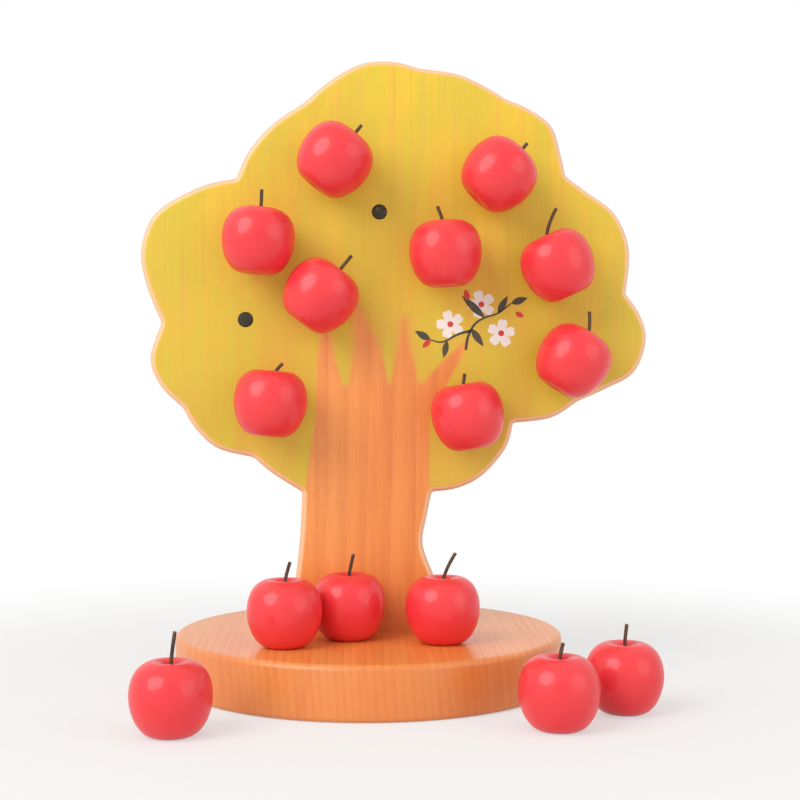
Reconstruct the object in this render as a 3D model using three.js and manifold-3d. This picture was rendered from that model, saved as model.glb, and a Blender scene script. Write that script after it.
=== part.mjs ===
import * as THREE from 'three';
import { mergeVertices } from 'three/addons/utils/BufferGeometryUtils.js';
import Module from 'manifold-3d';

// A wooden apple tree that stands in a round base, with magnetic apples to hang on its crown.
// Millimetres, +Z up. The origin is the centre of the base's underside.
// The painted face of the tree looks along -Y.

// Base: a turned disc of solid wood, with a routed slot for the tree's tenon
const baseDiameter = 174;
const baseThickness = 23;
const baseEdgeRadius = 2.5;
const slotFloor = 6;
const slotClearance = 0.4;
const baseSides = 56;
const baseEdgeSteps = 1;

// Tree: one board, trunk and crown in a single outline, with a tenon below its foot
const boardThickness = 16;
const boardEdgeRadius = 3;
const crownWidth = 228;
const crownHeight = 194;
const trunkWidth = 59;
const trunkHeight = 63;
const tenonWidth = 50;
const tenonThickness = 12;
const tenonEndGap = 0.5;
const outlineSteps = 2;
const boardEdgeSteps = 2;
const slotSteps = 4;

// Steel discs: let into the crown's painted face, where the apples' magnets hold
const discDiameter = 6.5;
const discThickness = 3;
const discProud = 0.2;
const discClearance = 0.2;
const discSides = 16;

// Apples: turned wood, with a dimple and a stem hole on top and a pocket in the side
const appleDiameter = 32;
const appleHeight = 28.5;
const magnetLevelShare = 0.5;
const appleSides = 18;
const appleSteps = 1;

// Magnets: small round ones glued into the pockets
const magnetDiameter = 7;
const magnetThickness = 4;
const magnetProud = 0.3;
const magnetClearance = 0.2;
const hangGap = 0.3;
const magnetSides = 16;

// Stems: thin bent twigs glued into the stem holes
const stemDiameter = 1.5;
const stemSeatDepth = 5;
const stemLength = 12;
const stemKneeShare = 0.33;
const stemClearance = 0.2;
const stemSteps = 6;
const stemSides = 8;

// Cutters run past the face that they start from by this much
const cutOverrun = 2;

// The trunk's sides: share of its width from the middle, share of its height from the foot
const trunkLeftShares = [[-0.64, 0], [-0.57, 0.34], [-0.53, 0.66], [-0.51, 1]];
const trunkRightShares = [[0.48, 1], [0.44, 0.82], [0.41, 0.62], [0.51, 0.36], [0.64, 0]];

// The crown's lobes, clockwise from its lower left corner with the trunk. Each lobe bends
// through its points to the notch that ends it: share of the crown's width from the
// trunk's middle, share of its height. The last one ends at the trunk's other corner.
const crownLobeShares = [
  [[-0.189, 0.042], [-0.229, 0.081]],
  [[-0.299, 0.102], [-0.343, 0.149], [-0.366, 0.195]],
  [[-0.410, 0.246], [-0.430, 0.310], [-0.408, 0.392]],
  [[-0.437, 0.477], [-0.448, 0.561], [-0.418, 0.647], [-0.331, 0.707], [-0.262, 0.726]],
  [[-0.237, 0.790], [-0.190, 0.853], [-0.128, 0.903]],
  [[-0.079, 0.953], [-0.016, 0.994], [0.047, 1.000], [0.098, 0.985]],
  [[0.173, 0.973], [0.229, 0.945], [0.272, 0.915]],
  [[0.315, 0.894], [0.362, 0.853], [0.380, 0.790], [0.390, 0.737]],
  [[0.430, 0.702], [0.489, 0.649], [0.518, 0.565], [0.511, 0.462]],
  [[0.540, 0.413], [0.552, 0.352], [0.528, 0.278], [0.472, 0.240], [0.416, 0.211]],
  [[0.362, 0.172], [0.286, 0.160]],
  [[0.272, 0.102], [0.225, 0.038], [0.175, 0.008]],
];

// The apple's profile from its underside up: share of its radius, share of its height
const restRingShares = [[0, 0.05], [0.30, 0], [0.46, 0]];
const appleSideShares = [
  [0.67, 0.062], [0.845, 0.190], [0.958, 0.360], [1.00, 0.540], [0.960, 0.720],
  [0.84, 0.868], [0.66, 0.960], [0.46, 1.000], [0.22, 0.960],
];
const dimpleFloorShare = 0.87;

// Apples that hang on the tree: the spot on the crown as shares of its width and height,
// the apple's tilt, and the stem's lean and length
const hangingApples = [
  { name: 'apple_01', spotShares: [-0.069, 0.754], tilt: 38, lean: 0, lengthShare: 0.75 },
  { name: 'apple_02', spotShares: [-0.214, 0.571], tilt: 5, lean: -2, lengthShare: 1 },
  { name: 'apple_03', spotShares: [-0.096, 0.448], tilt: 37, lean: 2, lengthShare: 1 },
  { name: 'apple_04', spotShares: [0.145, 0.544], tilt: -3, lean: -14, lengthShare: 0.9 },
  { name: 'apple_05', spotShares: [0.247, 0.723], tilt: 44, lean: -4, lengthShare: 0.7 },
  { name: 'apple_06', spotShares: [0.363, 0.518], tilt: -25, lean: 38, lengthShare: 1.35 },
  { name: 'apple_07', spotShares: [0.391, 0.302], tilt: 33, lean: -26, lengthShare: 1.1 },
  { name: 'apple_08', spotShares: [-0.191, 0.206], tilt: 5, lean: 28, lengthShare: 0.7 },
  { name: 'apple_09', spotShares: [0.188, 0.177], tilt: -10, lean: 13, lengthShare: 0.7 },
];

// Steel discs that hold no apple
const bareSpotShares = [[0.020, 0.649], [-0.243, 0.399]];

// Apples that stand on the base: shares of an apple's diameter, across from the trunk's
// middle and out from its face, with the turn that takes the magnet to the far side
const baseApples = [
  { name: 'apple_10', standShares: [-1.147, 1.094], turn: 24, lean: 12, lengthShare: 0.95 },
  { name: 'apple_11', standShares: [-0.294, 0.531], turn: -8, lean: 10, lengthShare: 1.05 },
  { name: 'apple_12', standShares: [0.966, 0.888], turn: -30, lean: 22, lengthShare: 1.25 },
];

// Apples that lie fallen beside the base: bearing round it, and the share of an apple's
// diameter that is left free between the apple and the rim
const fallenApples = [
  { name: 'apple_13', bearing: -127.2, rimGapShare: 0.79, turn: -42, lean: 6, lengthShare: 1.25 },
  { name: 'apple_14', bearing: -54.2, rimGapShare: 0.60, turn: 18, lean: 10, lengthShare: 0.75 },
  { name: 'apple_15', bearing: -34.6, rimGapShare: 0.68, turn: 50, lean: 5, lengthShare: 0.95 },
];

const baseRadius = baseDiameter / 2;
const appleRadius = appleDiameter / 2;
const boardFront = -boardThickness / 2;
const crownBottom = baseThickness + trunkHeight;
const slotDepth = baseThickness - slotFloor;
const magnetLevel = magnetLevelShare * appleHeight;
const dimpleFloor = dimpleFloorShare * appleHeight;

const wasm = await Module();
wasm.setup();

function solidFrom(geometry) {
  const bare = geometry.clone();
  bare.deleteAttribute('normal');
  bare.deleteAttribute('uv');
  const merged = mergeVertices(bare);
  const corners = merged.index.array;
  const kept = [];
  for (let i = 0; i < corners.length; i += 3) {
    const [a, b, c] = corners.slice(i, i + 3);
    if (a !== b && b !== c && c !== a) kept.push(a, b, c);
  }
  return new wasm.Manifold(new wasm.Mesh({
    numProp: 3,
    vertProperties: new Float32Array(merged.attributes.position.array),
    triVerts: new Uint32Array(kept),
  }));
}

function geometryFrom(solid) {
  const mesh = solid.getMesh();
  const geometry = new THREE.BufferGeometry();
  geometry.setAttribute('position', new THREE.BufferAttribute(mesh.vertProperties, 3));
  geometry.setIndex(new THREE.BufferAttribute(mesh.triVerts, 1));
  geometry.computeVertexNormals();
  return geometry;
}

function finish(color, roughness, metalness) {
  return new THREE.MeshStandardMaterial({ color, roughness, metalness });
}

function named(name, geometry, material) {
  const mesh = new THREE.Mesh(geometry, material);
  mesh.name = name;
  return mesh;
}

function turned(profile, sides) {
  return new THREE.LatheGeometry(profile, sides).rotateX(Math.PI / 2);
}

// A slot's outline, with the round ends that a router bit leaves
function roundEndedPrism(length, width, height) {
  const shape = new THREE.Shape();
  const reach = (length - width) / 2;
  shape.absarc(reach, 0, width / 2, -Math.PI / 2, Math.PI / 2);
  shape.absarc(-reach, 0, width / 2, Math.PI / 2, 3 * Math.PI / 2);
  shape.closePath();
  return new THREE.ExtrudeGeometry(shape, { depth: height, bevelEnabled: false, curveSegments: slotSteps });
}

function baseDisc() {
  const inner = baseRadius - baseEdgeRadius;
  const profile = new THREE.Path();
  profile.moveTo(0, 0);
  profile.lineTo(inner, 0);
  profile.absarc(inner, baseEdgeRadius, baseEdgeRadius, -Math.PI / 2, 0);
  profile.absarc(inner, baseThickness - baseEdgeRadius, baseEdgeRadius, 0, Math.PI / 2);
  profile.lineTo(0, baseThickness);
  const disc = solidFrom(turned(profile.getPoints(baseEdgeSteps), baseSides));
  const slot = roundEndedPrism(
    tenonWidth + 2 * slotClearance,
    tenonThickness + 2 * slotClearance,
    slotDepth + cutOverrun,
  ).translate(0, 0, slotFloor);
  return geometryFrom(disc.subtract(solidFrom(slot)));
}

function onCrown([across, up]) {
  return new THREE.Vector2(across * crownWidth, crownBottom + up * crownHeight);
}

function onTrunk([across, up]) {
  return new THREE.Vector2(across * trunkWidth, baseThickness + up * trunkHeight);
}

// The outline runs a little below the foot, so that the foot is then cut square
function boardOutline() {
  const left = trunkLeftShares.map(onTrunk);
  const right = trunkRightShares.map(onTrunk);
  const corner = right[0];
  const cutLine = baseThickness - boardEdgeRadius - cutOverrun;
  const shape = new THREE.Shape();
  shape.moveTo(left[0].x, cutLine);
  shape.lineTo(left[0].x, left[0].y);
  shape.splineThru(left.slice(1));
  crownLobeShares.forEach((lobe, i) => {
    const last = i === crownLobeShares.length - 1;
    shape.splineThru([...lobe.map(onCrown), ...(last ? [corner] : [])]);
  });
  shape.splineThru(right.slice(1));
  shape.lineTo(right.at(-1).x, cutLine);
  shape.closePath();
  return shape;
}

// The tool that squares the foot clears all that hangs below the base's top
function footCutter() {
  const height = boardEdgeRadius + 2 * cutOverrun;
  const block = new THREE.BoxGeometry(2 * trunkWidth, boardThickness + 2 * cutOverrun, height);
  return block.translate(0, 0, baseThickness - height / 2);
}

function discPocket(spotShares) {
  const spot = onCrown(spotShares);
  const radius = discDiameter / 2 + discClearance;
  const floor = boardFront - discProud + discThickness + discClearance;
  const mouth = boardFront - cutOverrun;
  const cutter = new THREE.CylinderGeometry(radius, radius, floor - mouth, discSides);
  return cutter.translate(spot.x, (floor + mouth) / 2, spot.y);
}

function treeBoard() {
  const slab = new THREE.ExtrudeGeometry(boardOutline(), {
    depth: boardThickness - 2 * boardEdgeRadius,
    bevelThickness: boardEdgeRadius,
    bevelSize: boardEdgeRadius,
    bevelOffset: -boardEdgeRadius,
    bevelSegments: boardEdgeSteps,
    curveSegments: outlineSteps,
  });
  slab.translate(0, 0, boardEdgeRadius - boardThickness / 2).rotateX(Math.PI / 2);
  const tenonDepth = slotDepth - tenonEndGap;
  const tenon = roundEndedPrism(tenonWidth, tenonThickness, tenonDepth + cutOverrun)
    .translate(0, 0, baseThickness - tenonDepth);
  let board = solidFrom(slab).subtract(solidFrom(footCutter())).add(solidFrom(tenon));
  for (const spotShares of discSpotShares()) board = board.subtract(solidFrom(discPocket(spotShares)));
  return geometryFrom(board);
}

function discSpotShares() {
  return [...hangingApples.map((apple) => apple.spotShares), ...bareSpotShares];
}

function steelDisc(spotShares, name) {
  const spot = onCrown(spotShares);
  const radius = discDiameter / 2;
  const disc = named(
    name,
    new THREE.CylinderGeometry(radius, radius, discThickness, discSides),
    finish(0x4a4238, 0.45, 0.9),
  );
  disc.position.set(spot.x, boardFront - discProud + discThickness / 2, spot.y);
  return disc;
}

// The apple's body, its axis on Z and its underside at 0, with the magnet's pocket at +Y
function appleBody() {
  const onApple = ([out, up]) => new THREE.Vector2(out * appleRadius, up * appleHeight);
  const profile = new THREE.Path();
  profile.setFromPoints(restRingShares.map(onApple));
  profile.splineThru([...appleSideShares.map(onApple), new THREE.Vector2(0, dimpleFloor)]);
  const body = solidFrom(turned(profile.getPoints(appleSteps), appleSides));

  const holeRadius = stemDiameter / 2 + stemClearance;
  const holeDepth = stemSeatDepth + stemClearance;
  const stemHole = new THREE.CylinderGeometry(holeRadius, holeRadius, holeDepth + cutOverrun, stemSides)
    .rotateX(Math.PI / 2)
    .translate(0, 0, dimpleFloor - holeDepth + (holeDepth + cutOverrun) / 2);

  const pocketRadius = magnetDiameter / 2 + magnetClearance;
  const pocketFloor = appleRadius + magnetProud - magnetThickness - magnetClearance;
  const pocketMouth = appleRadius + cutOverrun;
  const pocket = new THREE.CylinderGeometry(
    pocketRadius,
    pocketRadius,
    pocketMouth - pocketFloor,
    magnetSides,
  ).translate(0, (pocketMouth + pocketFloor) / 2, magnetLevel);

  return geometryFrom(body.subtract(solidFrom(stemHole)).subtract(solidFrom(pocket)));
}

function appleMagnet() {
  const radius = magnetDiameter / 2;
  return new THREE.CylinderGeometry(radius, radius, magnetThickness, magnetSides)
    .translate(0, appleRadius + magnetProud - magnetThickness / 2, magnetLevel);
}

// A stem stands straight in its hole and then bends over to its lean
function appleStem(lean, lengthShare) {
  const length = stemLength * lengthShare;
  const angle = THREE.MathUtils.degToRad(lean);
  const seat = new THREE.Vector3(0, 0, dimpleFloor - stemSeatDepth);
  const rim = new THREE.Vector3(0, 0, dimpleFloor);
  const knee = new THREE.Vector3(0, 0, dimpleFloor + stemKneeShare * length);
  const tip = new THREE.Vector3(Math.sin(angle) * length, 0, dimpleFloor + Math.cos(angle) * length);
  const path = new THREE.CurvePath();
  path.add(new THREE.LineCurve3(seat, rim));
  path.add(new THREE.QuadraticBezierCurve3(rim, knee, tip));
  const section = new THREE.Shape();
  section.absarc(0, 0, stemDiameter / 2, 0, 2 * Math.PI);
  return new THREE.ExtrudeGeometry(section, {
    extrudePath: path,
    steps: stemSteps,
    curveSegments: stemSides / 2,
  });
}

const bodyGeometry = appleBody();
const magnetGeometry = appleMagnet();

// An apple in a group of its own, whose origin is on the apple's axis at the magnet's level
function apple({ name, turn = 0, lean, lengthShare }) {
  const group = new THREE.Group();
  const body = named(`${name}_body`, bodyGeometry, finish(0xd92831, 0.22, 0));
  const magnet = named(`${name}_magnet`, magnetGeometry, finish(0x2c2b2d, 0.4, 0.8));
  const stem = named(`${name}_stem`, appleStem(lean, lengthShare), finish(0x3b2718, 0.8, 0));
  for (const piece of [body, magnet, stem]) {
    piece.position.z = -magnetLevel;
    group.add(piece);
  }
  body.rotation.z = THREE.MathUtils.degToRad(turn);
  magnet.rotation.z = THREE.MathUtils.degToRad(turn);
  return group;
}

function hangingApple(spec) {
  const group = apple(spec);
  const spot = onCrown(spec.spotShares);
  const reach = discProud + hangGap + magnetProud + appleRadius;
  group.position.set(spot.x, boardFront - reach, spot.y);
  group.rotation.y = THREE.MathUtils.degToRad(spec.tilt);
  return group;
}

function baseApple(spec) {
  const group = apple(spec);
  const [across, out] = spec.standShares;
  const outward = boardFront - out * appleDiameter;
  group.position.set(across * appleDiameter, outward, baseThickness + magnetLevel);
  return group;
}

function fallenApple(spec) {
  const group = apple(spec);
  const angle = THREE.MathUtils.degToRad(spec.bearing);
  const distance = baseRadius + appleRadius + spec.rimGapShare * appleDiameter;
  group.position.set(distance * Math.cos(angle), distance * Math.sin(angle), magnetLevel);
  return group;
}

function appleTree() {
  const toy = new THREE.Group();
  toy.add(named('base_disc', baseDisc(), finish(0xe29a5c, 0.6, 0)));
  toy.add(named('tree_board', treeBoard(), finish(0xd8b23c, 0.6, 0)));
  discSpotShares().forEach((spotShares, i) => {
    toy.add(steelDisc(spotShares, `steel_disc_${String(i + 1).padStart(2, '0')}`));
  });
  hangingApples.forEach((spec) => toy.add(hangingApple(spec)));
  baseApples.forEach((spec) => toy.add(baseApple(spec)));
  fallenApples.forEach((spec) => toy.add(fallenApple(spec)));
  return toy;
}

export default appleTree();
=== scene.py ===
import math

import bmesh
import bpy
from mathutils import Matrix, Vector


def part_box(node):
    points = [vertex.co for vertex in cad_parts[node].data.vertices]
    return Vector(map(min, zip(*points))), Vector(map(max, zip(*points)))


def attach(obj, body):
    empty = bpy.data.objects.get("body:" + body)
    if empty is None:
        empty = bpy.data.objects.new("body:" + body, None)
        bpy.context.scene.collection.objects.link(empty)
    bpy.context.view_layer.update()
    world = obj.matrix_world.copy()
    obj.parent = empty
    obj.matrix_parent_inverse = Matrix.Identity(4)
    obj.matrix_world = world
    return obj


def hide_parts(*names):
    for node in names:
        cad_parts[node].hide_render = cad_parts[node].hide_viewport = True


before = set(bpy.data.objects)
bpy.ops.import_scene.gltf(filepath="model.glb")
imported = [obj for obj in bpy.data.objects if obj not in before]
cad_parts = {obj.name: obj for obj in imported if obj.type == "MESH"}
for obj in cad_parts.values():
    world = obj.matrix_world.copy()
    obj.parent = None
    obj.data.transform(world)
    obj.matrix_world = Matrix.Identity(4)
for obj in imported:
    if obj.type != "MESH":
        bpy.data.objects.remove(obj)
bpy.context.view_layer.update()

# Camera
# The view is the one that the toy is pictured from: 64 cm in front of the tree, nearly
# square to its painted face, and level with the lower part of the crown.
MM = 0.001
CAMERA_PLACE = Vector((-14, -640, 129)) * MM
CAMERA_AIM = Vector((13.8, -8, 127.4)) * MM
LENS_LENGTH = 63.3

camera = bpy.data.objects.new("camera", bpy.data.cameras.new("camera"))
camera.data.lens = LENS_LENGTH
camera.location = CAMERA_PLACE
camera.rotation_euler = (CAMERA_AIM - CAMERA_PLACE).to_track_quat("-Z", "Y").to_euler()
bpy.context.scene.collection.objects.link(camera)
bpy.context.scene.camera = camera
bpy.context.scene.view_settings.view_transform = "Standard"


# Studio
# A pale table top that runs out into white, under a dim white sky. A big soft lamp on the
# upper left draws the apples' highlights and shadows, and a wide weak one fills from the right.
FLOOR_REACH = 4.0
FLOOR_COLOUR = (0.80, 0.79, 0.77, 1)
FLOOR_GLOW_NEAR = 0.50
FLOOR_FADE_START = 0.13
FLOOR_FADE_END = 0.42
SKY_ON_OBJECT = 0.64
LAMP_AIM = Vector((10, 0, 120)) * MM
KEY_DIRECTION = Vector((-0.62, -0.57, 0.53))
KEY_DISTANCE = 2.0
KEY_SIZE = 1.5
KEY_POWER = 24.5
FILL_DIRECTION = Vector((0.75, -0.6, 0.30))
FILL_DISTANCE = 1.3
FILL_SIZE = 1.0
FILL_POWER = 3.3


class Wire:
    """A socket in a node tree. Python's operators on it add Math nodes."""

    def __init__(self, tree, socket=None):
        self.tree = tree
        self.socket = socket

    def feed(self, node, inputs):
        """Gives a node's sockets their values or links; a list holds several links for one socket."""
        for key, value in inputs.items():
            parts = value if isinstance(value, list) else [value]
            if not isinstance(parts[0], Wire):
                node.inputs[key].default_value = value
                continue
            for wire in parts:
                self.tree.links.new(wire.socket, node.inputs[key])

    def node(self, kind, settings, inputs, output=0):
        """Adds a node with these settings, then feeds its sockets."""
        added = self.tree.nodes.new(kind)
        for name, value in settings.items():
            setattr(added, name, value)
        self.feed(added, inputs)
        return Wire(self.tree, added.outputs[output])

    def math(self, operation, first, second=0.0):
        return self.node("ShaderNodeMath", {"operation": operation}, {0: first, 1: second})

    def __add__(self, other):
        return self.math("ADD", self, other)

    def __sub__(self, other):
        return self.math("SUBTRACT", self, other)

    def __mul__(self, other):
        return self.math("MULTIPLY", self, other)

    def __truediv__(self, other):
        return self.math("DIVIDE", self, other)

    def __radd__(self, other):
        return self.math("ADD", other, self)

    def __rsub__(self, other):
        return self.math("SUBTRACT", other, self)

    def __rmul__(self, other):
        return self.math("MULTIPLY", other, self)

    def __rtruediv__(self, other):
        return self.math("DIVIDE", other, self)

    def __abs__(self):
        return self.math("ABSOLUTE", self)

    def smooth(self, low, high):
        """0 below low, 1 above high, and an S curve between them."""
        settings = {"interpolation_type": "SMOOTHSTEP"}
        return self.node("ShaderNodeMapRange", settings, {0: self, 1: low, 2: high})

    def mix(self, colour_at_0, colour_at_1):
        """The colour between two, with this wire as the share of the second."""
        inputs = {0: self, 6: colour_at_0, 7: colour_at_1}
        return self.node("ShaderNodeMix", {"data_type": "RGBA"}, inputs, 2)

    def vector(self, operation, other, output=0):
        return self.node("ShaderNodeVectorMath", {"operation": operation}, {0: self, 1: other}, output)

    def length(self):
        return self.vector("LENGTH", (0, 0, 0), "Value")

    def part(self, axis):
        """One coordinate of a vector."""
        return self.node("ShaderNodeSeparateXYZ", {}, {0: self}, axis)

    def noise(self, scales, detail):
        """Noise from 0 to 1, whose grains are 1 / scale metres long on each axis."""
        grains = self.vector("MULTIPLY", scales)
        return self.node("ShaderNodeTexNoise", {}, {"Vector": grains, "Scale": 1.0, "Detail": detail})


def new_finish(name):
    """A material, its surface shader, and a wire with the object's own coordinates."""
    material = bpy.data.materials.new(name)
    material.use_nodes = True
    nodes = material.node_tree.nodes
    place = Wire(material.node_tree).node("ShaderNodeTexCoord", {}, {}, "Object")
    return material, nodes["Principled BSDF"], place


def seen_directly(start):
    """1 for rays from the camera and for reflections, 0 for the light on the object."""
    path = start.tree.nodes.new("ShaderNodeLightPath")
    camera_ray = Wire(start.tree, path.outputs["Is Camera Ray"])
    glossy_ray = Wire(start.tree, path.outputs["Is Glossy Ray"])
    return camera_ray.math("MAXIMUM", camera_ray, glossy_ray)


def table_finish():
    material, surface, place = new_finish("pale table")
    place.feed(surface, {"Base Color": FLOOR_COLOUR, "Roughness": 0.9, "Specular IOR Level": 0.1})
    across = place.length()
    glow = FLOOR_GLOW_NEAR + (1 - FLOOR_GLOW_NEAR) * across.smooth(FLOOR_FADE_START, FLOOR_FADE_END)
    white = place.node("ShaderNodeEmission", {}, {"Color": (1, 1, 1, 1), "Strength": 1.0})
    lit = Wire(place.tree, surface.outputs[0])
    mixed = place.node("ShaderNodeMixShader", {}, {0: glow * seen_directly(place), 1: lit, 2: white})
    place.tree.links.new(mixed.socket, place.tree.nodes["Material Output"].inputs["Surface"])
    return material


def white_sky():
    world = bpy.data.worlds.new("white sky")
    world.use_nodes = True
    start = Wire(world.node_tree)
    strength = SKY_ON_OBJECT + (1 - SKY_ON_OBJECT) * seen_directly(start)
    start.feed(world.node_tree.nodes["Background"], {"Color": (1, 1, 1, 1), "Strength": strength})
    return world


def soft_lamp(name, direction, distance, size, power):
    lamp = bpy.data.objects.new(name, bpy.data.lights.new(name, "AREA"))
    lamp.data.shape = "DISK"
    lamp.data.size = size
    lamp.data.energy = power
    lamp.location = LAMP_AIM + direction.normalized() * distance
    lamp.rotation_euler = (LAMP_AIM - lamp.location).to_track_quat("-Z", "Y").to_euler()
    bpy.context.scene.collection.objects.link(lamp)


def new_piece(name, mesh, finish):
    """An object of the scene around a mesh, with one material."""
    piece = bpy.data.objects.new(name, mesh)
    mesh.materials.clear()
    mesh.materials.append(finish)
    bpy.context.scene.collection.objects.link(piece)
    return piece


table_mesh = bpy.data.meshes.new("table")
corners = [(x * FLOOR_REACH, y * FLOOR_REACH, 0) for x, y in ((-1, -1), (1, -1), (1, 1), (-1, 1))]
table_mesh.from_pydata(corners, [], [(0, 1, 2, 3)])
new_piece("table", table_mesh, table_finish())
bpy.context.scene.world = white_sky()
soft_lamp("key lamp", KEY_DIRECTION, KEY_DISTANCE, KEY_SIZE, KEY_POWER)
soft_lamp("fill lamp", FILL_DIRECTION, FILL_DISTANCE, FILL_SIZE, FILL_POWER)


# Base
# A disc sawn from a solid orange-toned board and turned true, with both rims rounded and
# a clear satin lacquer. A slot for the tree's tenon is routed in its top.
BASE_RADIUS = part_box("base_disc")[1].x
BASE_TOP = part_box("base_disc")[1].z
BASE_RIM_RADIUS = 2.5 * MM
BASE_SIDES = 288
ROUNDING_STEPS = 6
SHADING_BAND = 0.4 * MM
SLOT_LENGTH = 50.8 * MM
SLOT_WIDTH = 12.8 * MM
SLOT_FLOOR = 6 * MM
SLOT_CHAMFER = 0.5 * MM
SHARP_ANGLE = math.radians(35)
WOOD_LIGHT = (0.90, 0.36, 0.090, 1)
WOOD_MIDDLE = (0.84, 0.28, 0.055, 1)
WOOD_DARK = (0.58, 0.13, 0.022, 1)
END_GRAIN = (0.70, 0.18, 0.040, 1)
BASE_GRAIN = (1.0, 0.06, 0.10)
BASE_RING_WIDTH = 3.4 * MM
BASE_HEART = Vector((-520, 0, -40)) * MM
BASE_RELIEF = 0.03 * MM
RING_SWAY = 22 * MM
RING_RIPPLE = 1.2 * MM


def wood(place, stretch, heart, ring_width):
    """The colour, roughness and relief of lacquered wood.

    A stretch of 1 leaves the pattern as it is on that axis, and a smaller one draws it out,
    most of all along the fibres. The year rings are circles about the heart, which lies
    outside the piece.
    """
    across = Vector((1, 1, 1))
    across[stretch.index(min(stretch))] = 0

    def grain(scale, detail):
        return place.noise([scale * share for share in stretch], detail)

    from_heart = place.vector("SUBTRACT", heart).vector("MULTIPLY", across)
    straight = from_heart.length()
    radius = straight + grain(14, 2.0) * RING_SWAY + grain(90, 2.0) * RING_RIPPLE
    rings = radius / ring_width
    ring = rings.math("FRACT", rings)
    late_wood = ring.smooth(0.25, 0.93) * (1 - ring.smooth(0.95, 1.0))
    streak = grain(330, 3.0)
    fibre = grain(1500, 3.0)
    pores = grain(2400, 1.0).smooth(0.66, 0.76)
    pale = grain(40, 2.0).smooth(0.25, 0.75).mix(WOOD_LIGHT, WOOD_MIDDLE)
    dark = late_wood * 0.20 + streak.smooth(0.42, 0.80) * 0.26 + fibre.smooth(0.4, 0.85) * 0.16
    colour = (dark + pores * 0.22).mix(pale, WOOD_DARK)
    roughness = 0.38 + fibre * 0.12 + pores * 0.1
    relief = fibre * 0.6 - pores - late_wood * 0.2
    return colour, roughness, relief


def relief_normal(relief, height):
    """The normal of a surface with this relief, whose full height is given in metres."""
    inputs = {"Height": relief, "Distance": height, "Strength": 1.0}
    return relief.node("ShaderNodeBump", {}, inputs)


def base_finish():
    material, surface, place = new_finish("base wood")
    colour, roughness, relief = wood(place, BASE_GRAIN, BASE_HEART, BASE_RING_WIDTH)
    from_axis = place.vector("MULTIPLY", (1, 1, 0)).length()
    edge = from_axis.smooth(BASE_RADIUS - BASE_RIM_RADIUS, BASE_RADIUS)
    place.feed(surface, {
        "Base Color": (edge * 0.45).mix(colour, END_GRAIN),
        "Roughness": roughness,
        "Normal": relief_normal(relief, BASE_RELIEF),
        "Coat Weight": 0.35,
        "Coat Roughness": 0.22,
    })
    return material


def mesh_data(name, mesh):
    """What a bmesh holds, as data for an object."""
    data = bpy.data.meshes.new(name)
    mesh.to_mesh(data)
    mesh.free()
    return data


def skin(name, rings):
    """A closed mesh through rings with as many points each, filled at the first and the last."""
    mesh = bmesh.new()
    loops = [[mesh.verts.new(point) for point in ring] for ring in rings]
    count = len(loops[0])
    for low, high in zip(loops, loops[1:]):
        for i in range(count):
            after = (i + 1) % count
            mesh.faces.new((low[i], low[after], high[after], high[i]))
    mesh.faces.new(reversed(loops[0]))
    mesh.faces.new(loops[-1])
    bmesh.ops.recalc_face_normals(mesh, faces=mesh.faces)
    return mesh_data(name, mesh)


def smooth_shaded(mesh):
    mesh.shade_smooth()
    mesh.set_sharp_from_angle(angle=SHARP_ANGLE)


def around(count):
    """Angles that divide a full turn."""
    return [2 * math.pi * i / count for i in range(count)]


def circle(radius, height, sides):
    return [(radius * math.cos(a), radius * math.sin(a), height) for a in around(sides)]


def round_ended_ring(length, width, inset, height, sides):
    """A slot's outline at a height, drawn in all round, with one point in each direction."""
    straight = (length - width) / 2
    radius = width / 2 - inset
    ring = []
    for angle in around(sides):
        cosine, sine = math.cos(angle), math.sin(angle)
        if abs(cosine) * radius <= straight * abs(sine):
            reach = radius / abs(sine)
        else:
            reach = straight * abs(cosine) + math.sqrt(radius**2 - (straight * sine) ** 2)
        ring.append((reach * cosine, reach * sine, height))
    return ring


def rounding(steps):
    """Shares of a radius, in and up, along a quarter circle from its flat end."""
    angles = [math.pi / 2 * i / steps for i in range(steps + 1)]
    return [(1 - math.sin(angle), 1 - math.cos(angle)) for angle in angles]


def round_levels(radius, low, high, edge, steps):
    """Radius and height of each ring of a round block, with both of its rims rounded."""
    quarter = rounding(steps)
    levels = [(radius - back * edge, low + up * edge) for back, up in quarter]
    return levels + [(radius - back * edge, high - down * edge) for back, down in reversed(quarter)]


def base_mesh():
    flat_radius = BASE_RADIUS - BASE_RIM_RADIUS - SHADING_BAND
    levels = [(flat_radius, 0)]
    levels += round_levels(BASE_RADIUS, 0, BASE_TOP, BASE_RIM_RADIUS, ROUNDING_STEPS)
    levels += [(flat_radius, BASE_TOP)]
    rings = [circle(radius, height, BASE_SIDES) for radius, height in levels]
    for inset, height in ((-SLOT_CHAMFER, BASE_TOP), (0, BASE_TOP - SLOT_CHAMFER), (0, SLOT_FLOOR)):
        rings.append(round_ended_ring(SLOT_LENGTH, SLOT_WIDTH, inset, height, BASE_SIDES))
    mesh = skin("base", rings)
    smooth_shaded(mesh)
    return mesh


base = new_piece("base", base_mesh(), base_finish())
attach(base, "base")
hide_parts("base_disc")


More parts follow.
